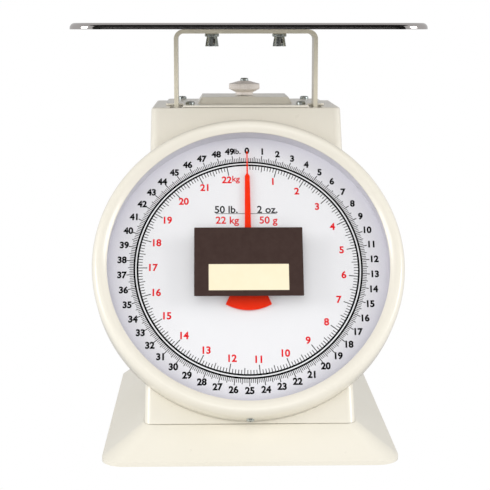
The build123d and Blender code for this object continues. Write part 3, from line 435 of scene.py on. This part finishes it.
def rolled_corner(centre, width, height, steps):
    """Points on an ellipse's quarter, from beside its centre to above it."""
    turns = [math.pi / 2 * i / steps for i in range(steps + 1)]
    return [(centre[0] + width * math.cos(turn), centre[1] + height * math.sin(turn)) for turn in turns]


def bezel_profile():
    """The ring's closed section: side wall, rolled front, and the lip over the lens."""
    crown = (BEZEL_RADIUS + WINDOW_RADIUS) / 2 + CROWN_SHIFT
    middle = (crown, BEZEL_SHOULDER)
    lip_top = LIP_LEVEL + BEZEL_SHEET
    lip_edge = [(WINDOW_RADIUS + out, lip_top - down) for out, down in LIP_EDGE]
    outer = [(BEZEL_RADIUS, BEZEL_FOOT), (BEZEL_RADIUS, BEZEL_WALL_MIDDLE)]
    outer += rolled_corner(middle, BEZEL_RADIUS - crown, BEZEL_HEIGHT - BEZEL_SHOULDER, CROWN_STEPS)
    for i in range(1, SLOPE_STEPS + 1):
        share = i / SLOPE_STEPS
        radius = crown + (lip_edge[0][0] - crown) * share
        outer.append((radius, BEZEL_HEIGHT - (BEZEL_HEIGHT - lip_top) * share ** SLOPE_CURVE))
    outer += [*lip_edge[1:], (WINDOW_RADIUS, LIP_LEVEL)]
    inner_radius = BEZEL_RADIUS - BEZEL_SHEET
    inner_rise = BEZEL_HEIGHT - BEZEL_SHEET - BEZEL_SHOULDER
    inner = [(WINDOW_RADIUS + LIP_BACK[0], LIP_LEVEL + LIP_BACK[1])]
    inner += reversed(rolled_corner(middle, inner_radius - crown, inner_rise, INNER_CROWN_STEPS))
    inner += [(inner_radius, BEZEL_FOOT)]
    return outer + inner


def make_bezel():
    vertices, faces = lathe(bezel_profile(), BEZEL_STEPS)
    ring = piece("bezel_ring", to_world(vertices), faces, "paint", "case")
    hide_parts("bezel")


# ================= dial print =================

def printed(outline):
    return prism(outline, PRINT_LEVEL - PRINT_THICK, PRINT_LEVEL)


def ring_line(inner, outer):
    section = rectangle(inner, outer, PRINT_LEVEL - PRINT_THICK, PRINT_LEVEL)
    return lathe(section, DIAL_CURVE_STEPS)


def clockwise(radius, degrees):
    """A dial point at this radius, degrees clockwise from the top."""
    angle = math.radians(degrees)
    return radius * math.sin(angle), radius * math.cos(angle)


def tick(degrees, start, end, width):
    """A graduation between two radii."""
    angle = math.radians(degrees)
    side = (math.cos(angle) * width / 2, -math.sin(angle) * width / 2)
    (x0, y0), (x1, y1) = clockwise(start, degrees), clockwise(end, degrees)
    return printed([(x0 - side[0], y0 - side[1]), (x0 + side[0], y0 + side[1]),
                    (x1 + side[0], y1 + side[1]), (x1 - side[0], y1 - side[1])])


def pound_ticks():
    ring = OUTER_RING[1]
    for i in range(POUNDS * TICKS_PER_POUND):
        length, width = POUND_TICKS.get(i % TICKS_PER_POUND, SMALL_POUND_TICK)
        yield tick(DEGREES_PER_POUND * i / TICKS_PER_POUND, ring - TICK_OVERLAP, ring + length, width)


def kilo_ticks():
    ring = INNER_RING[0]
    for i in range(KILOS * TICKS_PER_KILO + 1):
        length, width = KILO_TICKS.get(i % TICKS_PER_KILO, SMALL_KILO_TICK)
        yield tick(DEGREES_PER_KILO * i / TICKS_PER_KILO, ring - length, ring + TICK_OVERLAP, width)


def numerals(values, step, radius, size, weight, last_shift):
    """Lettering items for the numbers round a scale, step degrees to the unit."""
    for value in values:
        x, y = clockwise(radius, step * value)
        shift = last_shift if value == values[-1] else 0
        yield str(value), x + shift, y, size, weight


def captions(items):
    return [(*item, CAPTION_WEIGHT) for item in items]


def letter_mesh(name, text, size, weight):
    """A text's mesh, centred on the origin in dial millimetres."""
    curve = bpy.data.curves.new(name, "FONT")
    curve.body = text
    curve.size = size
    curve.align_x = "CENTER"
    curve.align_y = "CENTER"
    curve.offset = weight
    curve.extrude = PRINT_THICK / 2
    curve.resolution_u = LETTER_CURVE_STEPS
    holder = bpy.data.objects.new(name, curve)
    bpy.context.scene.collection.objects.link(holder)
    bpy.context.view_layer.update()
    mesh = bpy.data.meshes.new_from_object(holder.evaluated_get(bpy.context.evaluated_depsgraph_get()))
    bpy.data.objects.remove(holder)
    return mesh


def lettering(name, items, material):
    """One mesh of all texts; items are (text, x, y, size, weight), each centred on its point."""
    merged = bmesh.new()
    for text, x, y, size, weight in items:
        mesh = letter_mesh(name, text, size, weight)
        mesh.transform(Matrix.Translation((x, y, PRINT_LEVEL - PRINT_THICK / 2)))
        merged.from_mesh(mesh)
    bmesh.ops.remove_doubles(merged, verts=merged.verts, dist=LETTER_WELD)
    result = bpy.data.meshes.new(name)
    merged.to_mesh(result)
    merged.free()
    result.transform(DIAL_FRAME)
    return finish_piece(name, result, material, "case", smooth=False)


def make_dial_print():
    shapes = [ring_line(*OUTER_RING), ring_line(*INNER_RING), *pound_ticks(), *kilo_ticks()]
    shapes.append(printed(rectangle(*CAPTION_LINE)))
    vertices, faces = join_shapes(shapes)
    piece("dial_graduations", to_world(vertices), faces, "ink_black", "case", smooth=False)
    black = [*numerals(range(POUNDS), DEGREES_PER_POUND, POUND_NUMERAL_RADIUS, POUND_NUMERAL_SIZE,
                       POUND_WEIGHT, LAST_POUND_SHIFT), *captions(POUND_CAPTIONS)]
    lettering("dial_pound_numerals", black, "ink_black")
    red = [*numerals(range(1, KILOS + 1), DEGREES_PER_KILO, KILO_NUMERAL_RADIUS, KILO_NUMERAL_SIZE,
                     KILO_WEIGHT, LAST_KILO_SHIFT), *captions(KILO_CAPTIONS)]
    lettering("dial_kilo_numerals", red, "ink_red")


def make_film_band():
    """The pale band printed across the lower part of the dark film."""
    low = FILM_RISE - BAND_DROP - BAND_HEIGHT / 2
    outline = rectangle(-BAND_WIDTH / 2, BAND_WIDTH / 2, low, low + BAND_HEIGHT)
    vertices, faces = prism(outline, FILM_TOP, FILM_TOP + BAND_THICK)
    piece("film_band", to_world(vertices), faces, "film_band", "case", smooth=False)


# ================= springs =================

def tube(path, radius):
    """Vertices and faces of a closed round tube along a list of points."""
    vertices, faces = [], []
    # any direction that the path doesn't start along
    across = Vector((0, 1, 0.0137)).normalized()
    for i, point in enumerate(path):
        ahead = (path[min(i + 1, len(path) - 1)] - path[max(i - 1, 0)]).normalized()
        across = (across - ahead * across.dot(ahead)).normalized()
        other = ahead.cross(across)
        for j in range(WIRE_SIDES):
            angle = 2 * math.pi * j / WIRE_SIDES
            vertices.append(point + (across * math.cos(angle) + other * math.sin(angle)) * radius)
    for i in range(len(path) - 1):
        for j in range(WIRE_SIDES):
            a, b = i * WIRE_SIDES + j, i * WIRE_SIDES + (j + 1) % WIRE_SIDES
            faces.append((a, b, b + WIRE_SIDES, a + WIRE_SIDES))
    faces.append(tuple(reversed(range(WIRE_SIDES))))
    faces.append(tuple(range(len(vertices) - WIRE_SIDES, len(vertices))))
    return vertices, faces


def hook_path(centre, height, way):
    """Most of a circle, from the side next to the coil; way is 1 for the upper hook and -1 for the lower."""
    hook = SPRING_HOOK_RADIUS
    points = []
    for i in range(HOOK_STEPS + 1):
        angle = -math.pi / 2 + way * HOOK_START + 2 * math.pi * HOOK_SHARE * i / HOOK_STEPS
        points.append(centre + Vector((0, math.cos(angle) * hook, height + way * math.sin(angle) * hook)))
    return points


def spring_path(centre, low, high):
    """Wound wire with a hook at each end; the hooks reach the solids' ends."""
    hook_middle = SPRING_WIRE / 2 + SPRING_HOOK_RADIUS
    coil_inset = hook_middle + SPRING_HOOK_RADIUS + SPRING_WIRE
    coil_length = high - low - 2 * coil_inset
    turns = coil_length / SPRING_PITCH
    steps = int(turns * COIL_STEPS_PER_TURN)
    coil = []
    for i in range(steps + 1):
        angle = 2 * math.pi * turns * i / steps
        height = low + coil_inset + coil_length * i / steps
        coil.append(centre + Vector((math.cos(angle) * SPRING_COIL_RADIUS,
                                     math.sin(angle) * SPRING_COIL_RADIUS, height)))
    lower = hook_path(centre, low + hook_middle, -1)
    upper = hook_path(centre, high - hook_middle, 1)
    return list(reversed(lower)) + coil + upper


def make_springs():
    """Each spring's wound wire with its hooks, in place of the CAD spring, attached to no body."""
    for name in ("left_spring", "right_spring"):
        low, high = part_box(name)
        centre = Vector(((low[0] + high[0]) / 2, (low[1] + high[1]) / 2, 0))
        vertices, faces = tube(spring_path(centre, low[2], high[2]), SPRING_WIRE / 2)
        spring = piece(name + "_wire", vertices, faces, "spring", None)
        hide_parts(name)
        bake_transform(spring)


# ================= studio =================

def area_light(name, place, aim, size, power):
    data = bpy.data.lights.new(name, "AREA")
    data.energy = power
    data.size = size
    light = bpy.data.objects.new(name, data)
    light.location = place
    light.rotation_euler = (Vector(aim) - Vector(place)).to_track_quat("-Z", "Y").to_euler()
    bpy.context.scene.collection.objects.link(light)


def stage_plane(name, vertices, colour):
    mesh = bpy.data.meshes.new(name)
    mesh.from_pydata(vertices, [], [(0, 1, 2, 3)])
    material, _, _ = shader(name, Base_Color=(*colour, 1), Roughness=0.9)
    mesh.materials.append(material)
    plane = bpy.data.objects.new(name, mesh)
    bpy.context.scene.collection.objects.link(plane)
    return plane


def level_corners(half, front, back, height):
    return [(x, y, height) for x, y in rectangle(-half, half, front, back)]


def make_cards():
    """A dark wall, ceiling and ground, all in front of the scale, which only its glossy reflections show."""
    wall = [(x, CARD_FRONT, z) for x, z in rectangle(-CARD_HALF, CARD_HALF, 0, CARD_TOP)]
    cards = {
        "dark_wall": wall,
        "dark_ceiling": level_corners(CARD_HALF, CARD_FRONT, CARD_BACK, CARD_TOP),
        "dark_ground": level_corners(CARD_HALF, CARD_FRONT, CARD_BACK, CARD_GROUND),
    }
    for name, corners in cards.items():
        card = stage_plane(name, corners, CARD_COLOUR)
        card.visible_camera = False
        card.visible_diffuse = False
        card.visible_shadow = False


def make_world():
    """White behind the object, and a dimmer room than that for the light that reaches it."""
    world = bpy.data.worlds.new("studio")
    world.use_nodes = True
    tree = world.node_tree
    room = tree.nodes["Background"]
    room.inputs["Color"].default_value = (1, 1, 1, 1)
    room.inputs["Strength"].default_value = ROOM_STRENGTH
    backdrop = tree.nodes.new("ShaderNodeBackground")
    backdrop.inputs["Color"].default_value = (1, 1, 1, 1)
    backdrop.inputs["Strength"].default_value = BACKDROP_STRENGTH
    path = tree.nodes.new("ShaderNodeLightPath")
    choice = tree.nodes.new("ShaderNodeMixShader")
    tree.links.new(path.outputs["Is Camera Ray"], choice.inputs["Fac"])
    tree.links.new(room.outputs["Background"], choice.inputs[1])
    tree.links.new(backdrop.outputs["Background"], choice.inputs[2])
    tree.links.new(choice.outputs["Shader"], tree.nodes["World Output"].inputs["Surface"])
    bpy.context.scene.world = world


def make_studio():
    """The floor lights the object from below but is hidden from the camera, so that the ground is white."""
    make_world()
    floor = stage_plane("floor", level_corners(FLOOR_REACH, -FLOOR_REACH, FLOOR_REACH, 0), FLOOR_COLOUR)
    floor.visible_camera = False
    make_cards()
    for light in LIGHTS:
        area_light(*light)
    bpy.context.scene.view_settings.view_transform = "Standard"


def make_camera():
    """Long lens at the platform's height, tipped down at the dial."""
    data = bpy.data.cameras.new("camera")
    data.sensor_width = CAMERA_SENSOR
    data.lens = CAMERA_LENS
    camera = bpy.data.objects.new("camera", data)
    tilt = math.radians(CAMERA_TILT)
    across, along = CAMERA_HEADING
    forward = Vector((across * math.cos(tilt), along * math.cos(tilt), -math.sin(tilt)))
    camera.location = CAMERA_PLACE
    camera.rotation_euler = forward.to_track_quat("-Z", "Y").to_euler()
    bpy.context.scene.collection.objects.link(camera)
    bpy.context.scene.camera = camera


finish_nodes()
make_bezel()
make_dial_print()
make_film_band()
make_springs()
make_studio()
make_camera()
